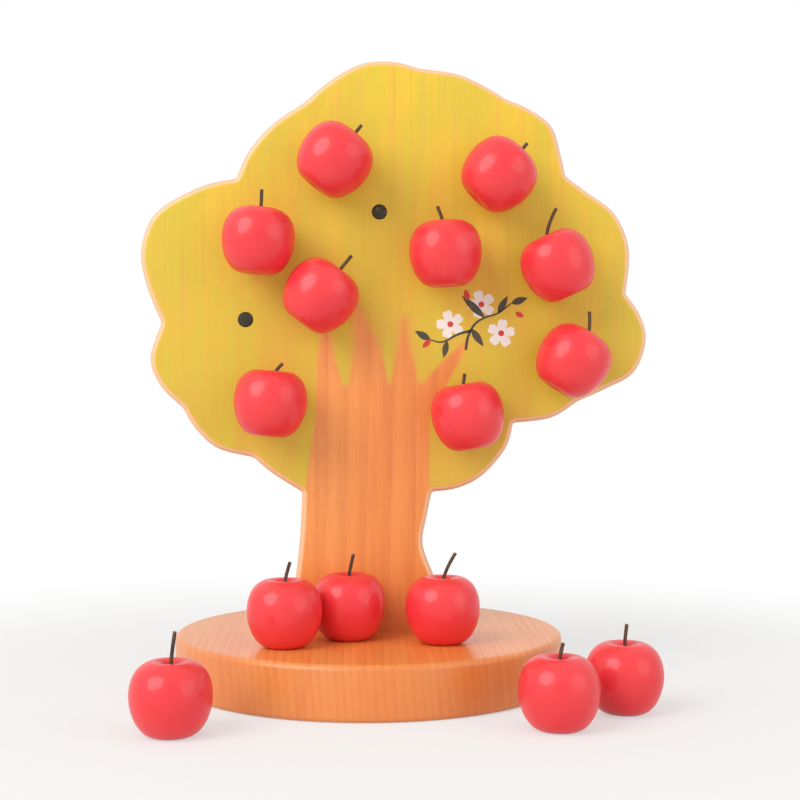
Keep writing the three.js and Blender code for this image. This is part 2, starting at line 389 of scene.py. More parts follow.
# Tree
# Trunk and crown are sawn in one outline from a thick board, sanded round at the edge, with
# a tenon under the foot. The crown is sprayed yellow-green, and trunk and rim stay bare wood.
BOARD_THICKNESS = 16 * MM
BOARD_ROUNDING = 3 * MM
CROWN_WIDTH = 228 * MM
CROWN_HEIGHT = 194 * MM
TRUNK_WIDTH = 59 * MM
TRUNK_HEIGHT = 63 * MM
TENON_LENGTH = 50 * MM
TENON_WIDTH = 12 * MM
TENON_TOP = BASE_TOP + 3 * MM
TENON_CHAMFER = 0.6 * MM
TENON_SIDES = 64
OUTLINE_STEP = 1.2 * MM
NOTCH_SOFTENING = 3
CUT_OVERRUN = 5 * MM
CROWN_BOTTOM = BASE_TOP + TRUNK_HEIGHT
BOARD_FRONT = -BOARD_THICKNESS / 2
TRUNK_LEFT_SHARES = [(-0.64, 0), (-0.57, 0.34), (-0.53, 0.66), (-0.51, 1)]
TRUNK_RIGHT_SHARES = [(0.48, 1), (0.44, 0.82), (0.41, 0.62), (0.51, 0.36), (0.64, 0)]
CROWN_LOBE_SHARES = [
    [(-0.189, 0.042), (-0.229, 0.081)],
    [(-0.299, 0.102), (-0.343, 0.149), (-0.366, 0.195)],
    [(-0.410, 0.246), (-0.430, 0.310), (-0.408, 0.392)],
    [(-0.437, 0.477), (-0.448, 0.561), (-0.418, 0.647), (-0.331, 0.707), (-0.262, 0.726)],
    [(-0.237, 0.790), (-0.190, 0.853), (-0.128, 0.903)],
    [(-0.079, 0.953), (-0.016, 0.994), (0.047, 1.000), (0.098, 0.985)],
    [(0.173, 0.973), (0.229, 0.945), (0.272, 0.915)],
    [(0.315, 0.894), (0.362, 0.853), (0.380, 0.790), (0.390, 0.737)],
    [(0.430, 0.702), (0.489, 0.649), (0.518, 0.565), (0.511, 0.462)],
    [(0.540, 0.413), (0.552, 0.352), (0.528, 0.278), (0.472, 0.240), (0.416, 0.211)],
    [(0.362, 0.172), (0.286, 0.160)],
    [(0.272, 0.102), (0.225, 0.038), (0.175, 0.008)],
]
DISC_RADIUS = 3.25 * MM
DISC_CLEARANCE = 0.2 * MM
DISC_PROUD = 0.2 * MM
DISC_THICKNESS = 3 * MM
POCKET_SIDES = 48
HANGING_SPOT_SHARES = [
    (-0.069, 0.754), (-0.214, 0.571), (-0.096, 0.448), (0.145, 0.544), (0.247, 0.723),
    (0.363, 0.518), (0.391, 0.302), (-0.191, 0.206), (0.188, 0.177),
]
BARE_SPOT_SHARES = [(0.020, 0.649), (-0.243, 0.399)]
PAINT_TOP = (0.80, 0.565, 0.024, 1)
# The paint's lower colour is partly the paint's own tone and partly painted shade low on the crown.
PAINT_LOW_AND_SHADED = (0.66, 0.455, 0.036, 1)
PAINT_GREEN = (0.64, 0.535, 0.024, 1)
PAINT_GREEN_SHARE = 0.72
PAINT_STREAK_SHARE = 0.28
PAINT_COVER_SHARE = 0.94
# The rim's pale colour is partly bare wood and partly a painted highlight along the rounded edge.
RIM_WOOD_AND_SHEEN = (0.92, 0.57, 0.33, 1)
BOARD_RING_WIDTH = 5.5 * MM
BOARD_HEART = Vector((-160, 260, 0)) * MM
BOARD_GRAIN = (1.0, 1.0, 0.06)
BOARD_RELIEF = 0.04 * MM
BARE_TRUNK_LEFT = 29 * MM
BARE_TRUNK_RIGHT = 27 * MM
BARE_TRUNK_TAPER = 0.15
TRUNK_FORK = 133 * MM
FORK_ROUNDING = 4 * MM
MASK_EDGE = 1.0 * MM
MASK_EDGE_LIFTED = 3.8 * MM
MASK_WANDER = 1.1 * MM
MASK_LIFTS_FROM, MASK_LIFTS_TO = 138 * MM, 172 * MM
PAINT_FOOT_EDGE = 1.0 * MM
PAINT_FOOT_WANDER = 1.5 * MM
LAP_FROM, LAP_TO = 0.02 * MM, 0.26 * MM
LAP_WANDER = 0.1 * MM
EDGE_PALE_AND_SHEEN_FROM, EDGE_PALE_AND_SHEEN_TO = 0.4 * MM, 2.8 * MM
TONE_AND_SHADE_FROM, TONE_AND_SHADE_TO = 80 * MM, 260 * MM
BRANCHES = [
    # each from its root to its tip: millimetres across and up on the face, and half its width there
    [(-16.5, 126, 7), (-19.5, 145, 4.4), (-19.5, 161, 1.5)],
    [(0, 128, 10), (-1, 150, 6.2), (-6.5, 172, 0.8)],
    [(16, 128, 7), (15.5, 163, 1.2)],
    [(23.5, 126, 5.5), (35, 142, 3.6), (43.5, 153, 0.9)],
]


def bend_through(points, step):
    """Points along a smooth curve through the given ones, about a step apart."""
    bent = [points[0]]
    for i in range(len(points) - 1):
        before = points[max(i - 1, 0)]
        start, end = points[i], points[i + 1]
        after = points[min(i + 2, len(points) - 1)]
        count = max(2, round((end - start).length / step))
        for k in range(1, count + 1):
            t = k / count
            leave, arrive = (end - before) / 2, (after - start) / 2
            curve = 2 * t**3 - 3 * t**2 + 1
            bent.append(
                start * curve
                + end * (1 - curve)
                + leave * (t**3 - 2 * t**2 + t)
                + arrive * (t**3 - t**2)
            )
    return bent


def on_crown(shares):
    return Vector((shares[0] * CROWN_WIDTH, CROWN_BOTTOM + shares[1] * CROWN_HEIGHT))


def on_trunk(shares):
    return Vector((shares[0] * TRUNK_WIDTH, BASE_TOP + shares[1] * TRUNK_HEIGHT))


def board_outline():
    """The outline as seen from the front, clockwise from the foot's left corner, with soft notches."""
    left = [on_trunk(shares) for shares in TRUNK_LEFT_SHARES]
    right = [on_trunk(shares) for shares in TRUNK_RIGHT_SHARES]
    below = BASE_TOP - BOARD_ROUNDING - CUT_OVERRUN
    outline = [Vector((left[0].x, below)), *bend_through(left, OUTLINE_STEP)]
    for lobe in CROWN_LOBE_SHARES:
        corners = [outline[-1]] + [on_crown(shares) for shares in lobe]
        if lobe is CROWN_LOBE_SHARES[-1]:
            corners.append(right[0])
        outline += bend_through(corners, OUTLINE_STEP)[1:]
    outline += bend_through(right, OUTLINE_STEP)[1:]
    outline.append(Vector((right[-1].x, below)))
    for _ in range(NOTCH_SOFTENING):
        inner = zip(outline, outline[1:], outline[2:])
        outline = [outline[0]] + [(a + 2 * b + c) / 4 for a, b, c in inner] + [outline[-1]]
    return outline


def drawn_in(outline, distance):
    """The outline moved inwards, each point along the line that halves its corner."""
    moved = []
    for i, point in enumerate(outline):
        before, after = outline[i - 1], outline[(i + 1) % len(outline)]
        arrive = (point - before).normalized()
        leave = (after - point).normalized()
        inward = Vector((arrive.y + leave.y, -arrive.x - leave.x)).normalized()
        spread = inward.dot(Vector((leave.y, -leave.x)))
        moved.append(point + inward * distance / spread)
    return moved


def board_rings():
    outline = board_outline()
    quarter = rounding(ROUNDING_STEPS)
    half = BOARD_THICKNESS / 2
    depths = [(BOARD_ROUNDING + SHADING_BAND, -half)]
    depths += [(back * BOARD_ROUNDING, -half + down * BOARD_ROUNDING) for back, down in quarter]
    depths += [(inset, -depth) for inset, depth in reversed(depths)]
    return [[(p.x, y, p.y) for p in drawn_in(outline, inset)] for inset, y in depths]


def cut(mesh, operation, *tools):
    """The mesh after boolean work with tool meshes, one after another."""
    piece = bpy.data.objects.new("blank", mesh)
    bpy.context.scene.collection.objects.link(piece)
    made = []
    for tool_mesh in tools:
        tool = bpy.data.objects.new("tool", tool_mesh)
        bpy.context.scene.collection.objects.link(tool)
        work = piece.modifiers.new("work", "BOOLEAN")
        work.operation = operation
        work.solver = "EXACT"
        work.object = tool
        made.append(tool)
    evaluated = piece.evaluated_get(bpy.context.evaluated_depsgraph_get())
    result = bpy.data.meshes.new_from_object(evaluated)
    for spare in [piece, *made]:
        bpy.data.objects.remove(spare)
    return result


def rod(start, end, radius, sides):
    """A round rod between two points, as a tool for cutting."""
    mesh = bmesh.new()
    axis = end - start
    turn = axis.to_track_quat("Z", "Y").to_matrix().to_4x4()
    place = Matrix.Translation((start + end) / 2) @ turn
    shape = {"cap_ends": True, "radius1": radius, "radius2": radius, "depth": axis.length}
    bmesh.ops.create_cone(mesh, segments=sides, matrix=place, **shape)
    return mesh_data("rod", mesh)


def foot_block():
    """A block that the foot is cut off with, from the base's top down."""
    mesh = bmesh.new()
    height = BOARD_ROUNDING + 2 * CUT_OVERRUN
    size = (2 * TRUNK_WIDTH, BOARD_THICKNESS + 2 * CUT_OVERRUN, height)
    place = Matrix.Translation((0, 0, BASE_TOP - height / 2)) @ Matrix.Diagonal((*size, 1))
    bmesh.ops.create_cube(mesh, size=1, matrix=place)
    return mesh_data("foot block", mesh)


def tenon_mesh():
    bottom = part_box("tree_board")[0].z
    rings = []
    for inset, height in ((TENON_CHAMFER, bottom), (0, bottom + TENON_CHAMFER), (0, TENON_TOP)):
        rings.append(round_ended_ring(TENON_LENGTH, TENON_WIDTH, inset, height, TENON_SIDES))
    return skin("tenon", rings)


def disc_spots():
    return [on_crown(shares) for shares in HANGING_SPOT_SHARES + BARE_SPOT_SHARES]


def board_mesh():
    slab = cut(skin("board", board_rings()), "DIFFERENCE", foot_block())
    tenoned = cut(slab, "UNION", tenon_mesh())
    pockets = []
    for spot in disc_spots():
        mouth = Vector((spot.x, BOARD_FRONT - CUT_OVERRUN, spot.y))
        floor = Vector((spot.x, BOARD_FRONT - DISC_PROUD + DISC_THICKNESS + DISC_CLEARANCE, spot.y))
        pockets.append(rod(mouth, floor, DISC_RADIUS + DISC_CLEARANCE, POCKET_SIDES))
    mesh = cut(tenoned, "DIFFERENCE", *pockets)
    smooth_shaded(mesh)
    return mesh


def branch_distance(place, branch):
    """How far a point of the face is outside a branch that tapers from point to point."""
    nearest = None
    flat = place.vector("MULTIPLY", (1, 0, 1))
    for start, end in zip(branch, branch[1:]):
        root = Vector((start[0], 0, start[1])) * MM
        axis = Vector((end[0], 0, end[1])) * MM - root
        offset = flat.vector("SUBTRACT", root)
        share = offset.vector("DOT_PRODUCT", axis / axis.length_squared, "Value")
        held = share.math("MINIMUM", share.math("MAXIMUM", share, 0.0), 1.0)
        foot = held.node("ShaderNodeVectorMath", {"operation": "SCALE"}, {0: tuple(axis), 3: held})
        away = offset.vector("SUBTRACT", foot).length()
        distance = away - (start[2] * MM + held * ((end[2] - start[2]) * MM))
        nearest = distance if nearest is None else nearest.math("MINIMUM", nearest, distance)
    return nearest


def bare_trunk_distance(place):
    """How far a point of the face is outside the trunk and branches that stay unpainted."""
    across, up = place.part(0), place.part(2)
    beyond_left = (up - CROWN_BOTTOM) * BARE_TRUNK_TAPER - BARE_TRUNK_LEFT - across
    beyond_right = across - BARE_TRUNK_RIGHT
    aside = across.math("MAXIMUM", beyond_left, beyond_right)
    distance = aside.math("MAXIMUM", aside, up - TRUNK_FORK)
    for branch in BRANCHES:
        inputs = {0: distance, 1: branch_distance(place, branch), 2: FORK_ROUNDING}
        distance = place.node("ShaderNodeMath", {"operation": "SMOOTH_MIN"}, inputs)
    return distance


def board_finish():
    material, surface, place = new_finish("painted board")
    wood_colour, wood_roughness, wood_relief = wood(place, BOARD_GRAIN, BOARD_HEART, BOARD_RING_WIDTH)
    face = BOARD_THICKNESS / 2
    outward, height = abs(place.part(1)), place.part(2)
    wander = place.noise((110, 110, 45), 2.0) - 0.5
    lifted = height.smooth(MASK_LIFTS_FROM, MASK_LIFTS_TO)
    softness = MASK_EDGE + (MASK_EDGE_LIFTED - MASK_EDGE) * lifted
    outside = bare_trunk_distance(place) + wander * MASK_WANDER
    sprayed = (outside / softness).smooth(-1.0, 1.0)
    above_trunk = (height + wander * PAINT_FOOT_WANDER).smooth(
        CROWN_BOTTOM - PAINT_FOOT_EDGE, CROWN_BOTTOM + PAINT_FOOT_EDGE
    )
    on_face = (outward + wander * LAP_WANDER).smooth(face - LAP_TO, face - LAP_FROM)
    streak = place.noise((700, 700, 16), 3.0)
    cloud = place.noise((75, 75, 26), 3.0)
    # The crown's paint darkens towards the bottom: partly the paint's own tone, partly painted shade
    # for the weaker light low on the tree.
    tone_and_shade = height.smooth(TONE_AND_SHADE_FROM, TONE_AND_SHADE_TO)
    yellow = tone_and_shade.mix(PAINT_LOW_AND_SHADED, PAINT_TOP)
    paint = (cloud.smooth(0.34, 0.64) * PAINT_GREEN_SHARE).mix(yellow, PAINT_GREEN)
    thin = streak.smooth(0.40, 0.80) * PAINT_STREAK_SHARE
    cover = sprayed * above_trunk * on_face
    # The bare rim is paler than the face's wood, and palest along the rounded edge: bare wood there,
    # with a painted highlight added along the rounding.
    rounding_wood_and_sheen = outward.smooth(face - EDGE_PALE_AND_SHEEN_TO, face - EDGE_PALE_AND_SHEEN_FROM)
    bare = ((1 - on_face) * (0.45 + rounding_wood_and_sheen * 0.4)).mix(wood_colour, RIM_WOOD_AND_SHEEN)
    colour = (cover * (PAINT_COVER_SHARE - thin)).mix(bare, paint)
    place.feed(surface, {
        "Base Color": colour,
        "Roughness": wood_roughness + cover * 0.12,
        "Normal": relief_normal(wood_relief * (1 - cover * 0.35), BOARD_RELIEF),
        "Coat Weight": 0.25,
        "Coat Roughness": 0.30,
    })
    return material


board = new_piece("board", board_mesh(), board_finish())
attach(board, "tree")
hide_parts("tree_board")


# Sprig
# A spray of blossom is screen printed on the crown in thin opaque inks: white petals, red
# hearts and buds, and a dark twig with leaves. Each ink lies a hair's breadth proud of the paint.
INK_SUNK = 0.03 * MM
INK_PROUD = 0.05 * MM
INK_LAYER = 0.015 * MM
INK_WHITE = (0.86, 0.83, 0.76, 1)
INK_RED = (0.62, 0.045, 0.030, 1)
INK_DARK = (0.055, 0.050, 0.028, 1)
INK_RELIEF = 0.015 * MM
PETALS = 5
PETAL_POINTS = 28
PETAL_LENGTH = 6.0 * MM
PETAL_WIDTH = 5.2 * MM
PETAL_REACH = 3.5 * MM
PETAL_MIDDLE_SHARE = 0.78
PETAL_FLARE_SHARE = 0.5
PETAL_NOTCH_SHARE = 0.10
NOTCH_HALF_SHARE = 0.22
NOTCH_START_SHARE = 0.2
PETAL_JITTER = 0.12
PETAL_SIZE_SHARES = (0.90, 1.06)
PETAL_HEIGHT_SHARES = (0.8, 1.0)
BLOSSOM_TURN = 6.28
BLOSSOM_SEED = 3
MERGE_DISTANCE = 0.002 * MM
HEART_RADIUS = 1.35 * MM
TWIG_WIDTH = 1.3 * MM
TWIG_THINNING_SHARE = 0.55
LEAF_BELLY = 0.85
LEAF_SLIMNESS = 1.0
BUD_SLIMNESS = 0.6
INK_STEPS = 10
INK_STEP_LENGTH = 1.5 * MM
# Places on the face in millimetres across and up
BLOSSOM_SPOTS = [(36.5, 161.5), (50.5, 170.5), (59.5, 157.5)]
TWIG_POINTS = [(43.5, 150), (44.5, 156), (47.5, 161.5), (52, 164.5), (58, 166.5), (64, 171)]
TWIG_SIDE_POINTS = [(45.6, 158.5), (40, 157), (33, 153.5), (27.5, 154.5)]
LEAVES = [
    # root, tip and width
    ((64, 171), (71.5, 173.5), 3.2),
    ((58, 166.5), (62.5, 174.5), 3.0),
    ((52, 164.5), (41.5, 174.5), 3.4),
    ((46, 159.5), (51.5, 151.5), 3.2),
    ((35, 154.2), (33.5, 146.2), 2.8),
    ((27.5, 154.5), (20.5, 158.5), 3.2),
]
BUDS = [
    ((27.5, 154.5), (24.0, 151.0), 2.4),
    ((44.5, 172.5), (43.2, 177.2), 2.6),
    ((66.0, 166.8), (69.6, 165.0), 2.4),
]


def new_shape_tree(name, sizes):
    """A tree of geometry nodes with these named inputs, and a wire from each of them."""
    tree = bpy.data.node_groups.new(name, "GeometryNodeTree")
    tree.interface.new_socket("Geometry", in_out="OUTPUT", socket_type="NodeSocketGeometry")
    inputs = {"Geometry": "Geometry", **sizes, "Finish": "Material"}
    for size, kind in inputs.items():
        tree.interface.new_socket(size, in_out="INPUT", socket_type=f"NodeSocket{kind}")
    given = tree.nodes.new("NodeGroupInput")
    return tree, {size: Wire(tree, given.outputs[size]) for size in inputs}


def end_tree(shape, finish):
    """Ends a tree in real meshes that carry their material."""
    real = shape.node("GeometryNodeRealizeInstances", {}, {"Geometry": shape})
    dressed = real.node("GeometryNodeSetMaterial", {}, {"Geometry": real, "Material": finish})
    output = shape.tree.nodes.new("NodeGroupOutput")
    shape.tree.links.new(dressed.socket, output.inputs["Geometry"])


def merged(shape):
    """Joins points that lie on one another, which closes seams."""
    inputs = {"Geometry": shape, "Distance": MERGE_DISTANCE}
    return shape.node("GeometryNodeMergeByDistance", {}, inputs)


def shaped(name, tree, start, finish, **sizes):
    """A plain piece: what a tree makes of a starting mesh with these sizes."""
    piece = bpy.data.objects.new(name, start)
    bpy.context.scene.collection.objects.link(piece)
    work = piece.modifiers.new("shape", "NODES")
    work.node_group = tree
    values = {size.replace("_", " ").title(): value for size, value in sizes.items()}
    values["Finish"] = finish
    for socket in tree.interface.items_tree:
        if socket.in_out == "INPUT" and socket.name in values:
            work[socket.identifier] = values[socket.name]
    evaluated = piece.evaluated_get(bpy.context.evaluated_depsgraph_get())
    mesh = bpy.data.meshes.new_from_object(evaluated)
    mesh.materials.clear()
    mesh.materials.append(finish)
    piece.modifiers.remove(work)
    piece.data = mesh
    return piece


def points_mesh(name, points, joined=False):
    """Points as a mesh, in one line of edges if they are joined."""
    mesh = bpy.data.meshes.new(name)
    edges = [(i, i + 1) for i in range(len(points) - 1)] if joined else []
    mesh.from_pydata([tuple(point) for point in points], edges, [])
    return mesh


def ink_finish(name, ink):
    material, surface, place = new_finish(name)
    colour, roughness, relief = wood(place, BOARD_GRAIN, BOARD_HEART, BOARD_RING_WIDTH)
    streak = place.noise((700, 700, 30), 3.0)
    wear_and_sheen = streak.smooth(0.58, 0.78) * 0.22
    place.feed(surface, {
        "Base Color": wear_and_sheen.mix(ink, colour),
        "Roughness": 0.48 + streak * 0.1,
        "Normal": relief_normal(relief, INK_RELIEF),
    })
    return material


def blossom_nodes():
    """Petals round a heart, on each point of a mesh, all as flat films that face -Y."""
    sizes = {
        "Petals": "Int",
        **dict.fromkeys(("Petal Length", "Petal Width", "Reach", "Film"), "Float"),
        "Seed": "Int",
    }
    tree, given = new_shape_tree("blossoms", sizes)
    start = Wire(tree)
    round_petal = {"Vertices": PETAL_POINTS, "Radius": 0.5}
    disc = start.node("GeometryNodeMeshCircle", {"fill_type": "NGON"}, round_petal)
    at = start.node("GeometryNodeInputPosition", {}, {})
    out, aside = at.part(0), at.part(1)
    notch = (1 - abs(aside).smooth(0.0, NOTCH_HALF_SHARE)) * out.smooth(NOTCH_START_SHARE, 0.5)
    outline = start.node("ShaderNodeCombineXYZ", {}, {
        "X": (out - notch * PETAL_NOTCH_SHARE) * given["Petal Length"],
        "Y": aside * (PETAL_MIDDLE_SHARE + out * PETAL_FLARE_SHARE) * given["Petal Width"],
    })
    petal = start.node("GeometryNodeSetPosition", {}, {"Geometry": disc, "Position": outline})
    ring = start.node("GeometryNodeMeshCircle", {}, {
        "Vertices": given["Petals"],
        "Radius": given["Reach"],
    })
    index = start.node("GeometryNodeInputIndex", {}, {})

    def drawn(low, high):
        draw = {2: low, 3: high, "Seed": given["Seed"]}
        return start.node("FunctionNodeRandomValue", {"data_type": "FLOAT"}, draw, 1)

    turn = index * (2 * math.pi / given["Petals"]) + drawn(-PETAL_JITTER, PETAL_JITTER)
    petals = start.node("GeometryNodeInstanceOnPoints", {}, {
        "Points": ring,
        "Instance": petal,
        "Rotation": start.node("ShaderNodeCombineXYZ", {}, {"Z": turn}),
        "Scale": drawn(*PETAL_SIZE_SHARES),
    })
    upright = start.node("ShaderNodeCombineXYZ", {}, {"X": math.pi / 2})
    faced = start.node("FunctionNodeEulerToRotation", {}, {0: upright})
    spun = start.node("FunctionNodeRotateRotation", {"rotation_space": "LOCAL"}, {
        0: faced,
        1: start.node("ShaderNodeCombineXYZ", {}, {"Z": drawn(0.0, BLOSSOM_TURN)}),
    })
    flowers = start.node("GeometryNodeInstanceOnPoints", {}, {
        "Points": given["Geometry"],
        "Instance": petals,
        "Rotation": spun,
    })
    real = start.node("GeometryNodeRealizeInstances", {}, {"Geometry": flowers})
    raised = start.node("GeometryNodeExtrudeMesh", {"mode": "FACES"}, {
        "Mesh": real,
        "Offset Scale": given["Film"] * drawn(*PETAL_HEIGHT_SHARES),
        "Individual": True,
    })
    under = start.node("GeometryNodeFlipFaces", {}, {"Mesh": real})
    both = {"Geometry": [raised, under]}
    end_tree(merged(start.node("GeometryNodeJoinGeometry", {}, both)), given["Finish"])
    return tree


def film(outlines, proud):
    """Flat films with these outlines, given anticlockwise as seen from the front."""
    mesh = bmesh.new()
    for outline in outlines:
        top = [mesh.verts.new((x, BOARD_FRONT - proud, z)) for x, z in outline]
        bottom = [mesh.verts.new((x, BOARD_FRONT + INK_SUNK, z)) for x, z in outline]
        mesh.faces.new(top)
        mesh.faces.new(reversed(bottom))
        for i in range(len(outline)):
            after = (i + 1) % len(outline)
            mesh.faces.new((top[after], top[i], bottom[i], bottom[after]))
    bmesh.ops.recalc_face_normals(mesh, faces=mesh.faces)
    return mesh_data("film", mesh)


def leaf_outline(root, tip, width, slimness):
    """A pointed oval from root to tip, widest nearer its root."""
    start, end = Vector(root) * MM, Vector(tip) * MM
    axis = end - start
    side = Vector((-axis.y, axis.x)).normalized() * width * MM / 2
    edge = []
    for i in range(INK_STEPS + 1):
        t = i / INK_STEPS
        swell = math.sin(math.pi * t**LEAF_BELLY) ** slimness
        edge.append((start + axis * t, side * swell))
    right = [middle - half for middle, half in edge]
    left = [middle + half for middle, half in reversed(edge[1:-1])]
    return right + left


def stroke_outline(points, width):
    """A brush stroke along a curve, which thins to its end."""
    line = bend_through([Vector(point) * MM for point in points], INK_STEP_LENGTH)
    right, left = [], []
    for i, point in enumerate(line):
        after = line[min(i + 1, len(line) - 1)]
        before = line[max(i - 1, 0)]
        ahead = (after - before).normalized()
        half = width / 2 * (1 - TWIG_THINNING_SHARE * i / (len(line) - 1))
        right.append(point + Vector((ahead.y, -ahead.x)) * half)
        left.append(point - Vector((ahead.y, -ahead.x)) * half)
    return right + left[::-1]


def dot_outline(centre, radius):
    return [centre + Vector((math.cos(a), math.sin(a))) * radius for a in around(2 * INK_STEPS)]


def printed(piece):
    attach(piece, "tree")


white_ink = ink_finish("white ink", INK_WHITE)
red_ink = ink_finish("red ink", INK_RED)
dark_ink = ink_finish("dark ink", INK_DARK)
blossom_places = [(x * MM, BOARD_FRONT + INK_SUNK, z * MM) for x, z in BLOSSOM_SPOTS]
printed(shaped(
    "sprig_petals", blossom_nodes(), points_mesh("blossom places", blossom_places), white_ink,
    petals=PETALS, petal_length=PETAL_LENGTH, petal_width=PETAL_WIDTH, reach=PETAL_REACH,
    film=INK_SUNK + INK_PROUD, seed=BLOSSOM_SEED,
))
red_marks = [dot_outline(Vector(spot) * MM, HEART_RADIUS) for spot in BLOSSOM_SPOTS]
red_marks += [leaf_outline(root, tip, width, BUD_SLIMNESS) for root, tip, width in BUDS]
printed(new_piece("sprig_hearts_and_buds", film(red_marks, INK_PROUD + INK_LAYER), red_ink))
dark_marks = [stroke_outline(TWIG_POINTS, TWIG_WIDTH), stroke_outline(TWIG_SIDE_POINTS, TWIG_WIDTH)]
dark_marks += [leaf_outline(root, tip, width, LEAF_SLIMNESS) for root, tip, width in LEAVES]
printed(new_piece("sprig_twig_and_leaves", film(dark_marks, INK_PROUD), dark_ink))


# Steel discs
# Eleven small discs are pressed into pockets in the crown, a hair proud of the paint. They are
# plain steel, blacked against rust, and the apples' magnets hold on them.
DISC_EDGE = 0.35 * MM
DISC_SIDES = 48
EASING_STEPS = 3
DISC_RELIEF = 0.02 * MM
BLACKED_STEEL = (0.050, 0.041, 0.027, 1)
WORN_STEEL = (0.19, 0.165, 0.125, 1)


def round_block(name, radius, low, high, edge, sides):
    """A small round block whose axis is Z, with both of its rims eased."""
    levels = round_levels(radius, low, high, edge, EASING_STEPS)
    return skin(name, [circle(level_radius, height, sides) for level_radius, height in levels])


def blacked_finish():
    material, surface, place = new_finish("blacked steel")
    mottle = place.noise((900, 900, 900), 3.0)
    wear_and_sheen = place.noise((320, 320, 320), 2.0).smooth(0.60, 0.72)
    place.feed(surface, {
        "Base Color": (wear_and_sheen * 0.5).mix(BLACKED_STEEL, WORN_STEEL),
        "Metallic": 0.7,
        "Roughness": 0.42 + mottle * 0.22,
        "Normal": relief_normal(mottle, DISC_RELIEF),
    })
    return material


def disc_nodes():
    """The disc, turned to face -Y, on each point of a mesh."""
    tree, given = new_shape_tree("discs in their pockets", {"Disc": "Object"})
    start = Wire(tree)
    one = start.node("GeometryNodeObjectInfo", {}, {"Object": given["Disc"]}, "Geometry")
    pressed_in = start.node("GeometryNodeInstanceOnPoints", {}, {
        "Points": given["Geometry"],
        "Instance": one,
        "Rotation": (math.pi / 2, 0, 0),
    })
    end_tree(pressed_in, given["Finish"])
    return tree


blacked = blacked_finish()
one_disc = round_block("disc", DISC_RADIUS, 0, DISC_THICKNESS, DISC_EDGE, DISC_SIDES)
pattern = new_piece("disc pattern", one_disc, blacked)
disc_back = BOARD_FRONT - DISC_PROUD + DISC_THICKNESS
disc_points = points_mesh("disc spots", [(spot.x, disc_back, spot.y) for spot in disc_spots()])
discs = shaped("steel_discs", disc_nodes(), disc_points, blacked, disc=pattern)
smooth_shaded(discs.data)
bpy.data.objects.remove(pattern)
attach(discs, "tree")
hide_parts(*[f"steel_disc_{i + 1:02d}" for i in range(len(disc_spots()))])


# Apples
# Each is turned from hardwood, with a dimple on top and a flat ring to stand on, drilled for
# its stem and its magnet, and dipped in red gloss lacquer. No two come out quite alike.
APPLE_RADIUS = 16 * MM
APPLE_HEIGHT = 28.5 * MM
APPLE_PROFILE_SHARES = [
    (0, 0.05), (0.30, 0), (0.46, 0), (0.67, 0.062), (0.845, 0.190), (0.958, 0.360), (1.00, 0.540),
    (0.960, 0.720), (0.84, 0.868), (0.66, 0.960), (0.46, 1.000), (0.22, 0.960), (0, 0.87),
]
APPLE_SIDES = 96
APPLE_STEPS = 64
APPLE_UNEVENNESS_SHARE = 0.035
SWELL_SCALES = (0.9, 0.9, 0.9)
SWELLS_UP = 45.0
DIMPLE_FLOOR = 0.87 * APPLE_HEIGHT
MAGNET_LEVEL = 0.5 * APPLE_HEIGHT
MAGNET_RADIUS = 3.5 * MM
MAGNET_THICKNESS = 4 * MM
MAGNET_PROUD = 0.3 * MM
MAGNET_CLEARANCE = 0.2 * MM
MAGNET_HOLE_SIDES = 48
HANG_GAP = 0.3 * MM
STEM_RADIUS = 0.75 * MM
STEM_SEAT_DEPTH = 5 * MM
STEM_CLEARANCE = 0.2 * MM
STEM_HOLE_SIDES = 32
LACQUER_RELIEF = 0.035 * MM
HANGING = [
    # tilt in degrees, lean of the stem in degrees, share of the stem's length
    (38, 0, 0.75), (5, -2, 1), (37, 2, 1), (-3, -14, 0.9), (44, -4, 0.7),
    (-25, 38, 1.35), (33, -26, 1.1), (5, 28, 0.7), (-10, 13, 0.7),
]
ON_BASE = [
    # place as shares of an apple across and out from the board, turn, lean, stem's share
    (-1.147, 1.094, 24, 12, 0.95), (-0.294, 0.531, -8, 10, 1.05), (0.966, 0.888, -30, 22, 1.25),
]
BESIDE_BASE = [
    # bearing, gap to the rim as a share of an apple, turn, lean, stem's share
    (-127.2, 0.79, -42, 6, 1.25), (-54.2, 0.60, 18, 10, 0.75), (-34.6, 0.68, 50, 5, 0.95),
]
APPLE_RED = (0.82, 0.033, 0.046, 1)
# The deeper red below is painted shade in the apples' dimples.
APPLE_DIMPLE_SHADE = (0.54, 0.014, 0.022, 1)
# The brighter red serves both the apples' random paler patches and a painted highlight on their upper
# shoulders.
APPLE_PALE_TONE_AND_SHEEN = (0.86, 0.060, 0.060, 1)


def apple_places():
    """Each apple's middle at its magnet's level, its tilt and turn, and its stem's lean and share."""
    places = []
    reach = DISC_PROUD + HANG_GAP + MAGNET_PROUD + APPLE_RADIUS
    for shares, (tilt, lean, length) in zip(HANGING_SPOT_SHARES, HANGING):
        spot = on_crown(shares)
        places.append((Vector((spot.x, BOARD_FRONT - reach, spot.y)), tilt, 0, lean, length))
    size = 2 * APPLE_RADIUS
    for across, out, turn, lean, length in ON_BASE:
        middle = Vector((across * size, BOARD_FRONT - out * size, BASE_TOP + MAGNET_LEVEL))
        places.append((middle, 0, turn, lean, length))
    for bearing, gap, turn, lean, length in BESIDE_BASE:
        distance = BASE_RADIUS + APPLE_RADIUS + gap * size
        angle = math.radians(bearing)
        middle = Vector((distance * math.cos(angle), distance * math.sin(angle), MAGNET_LEVEL))
        places.append((middle, 0, turn, lean, length))
    return places


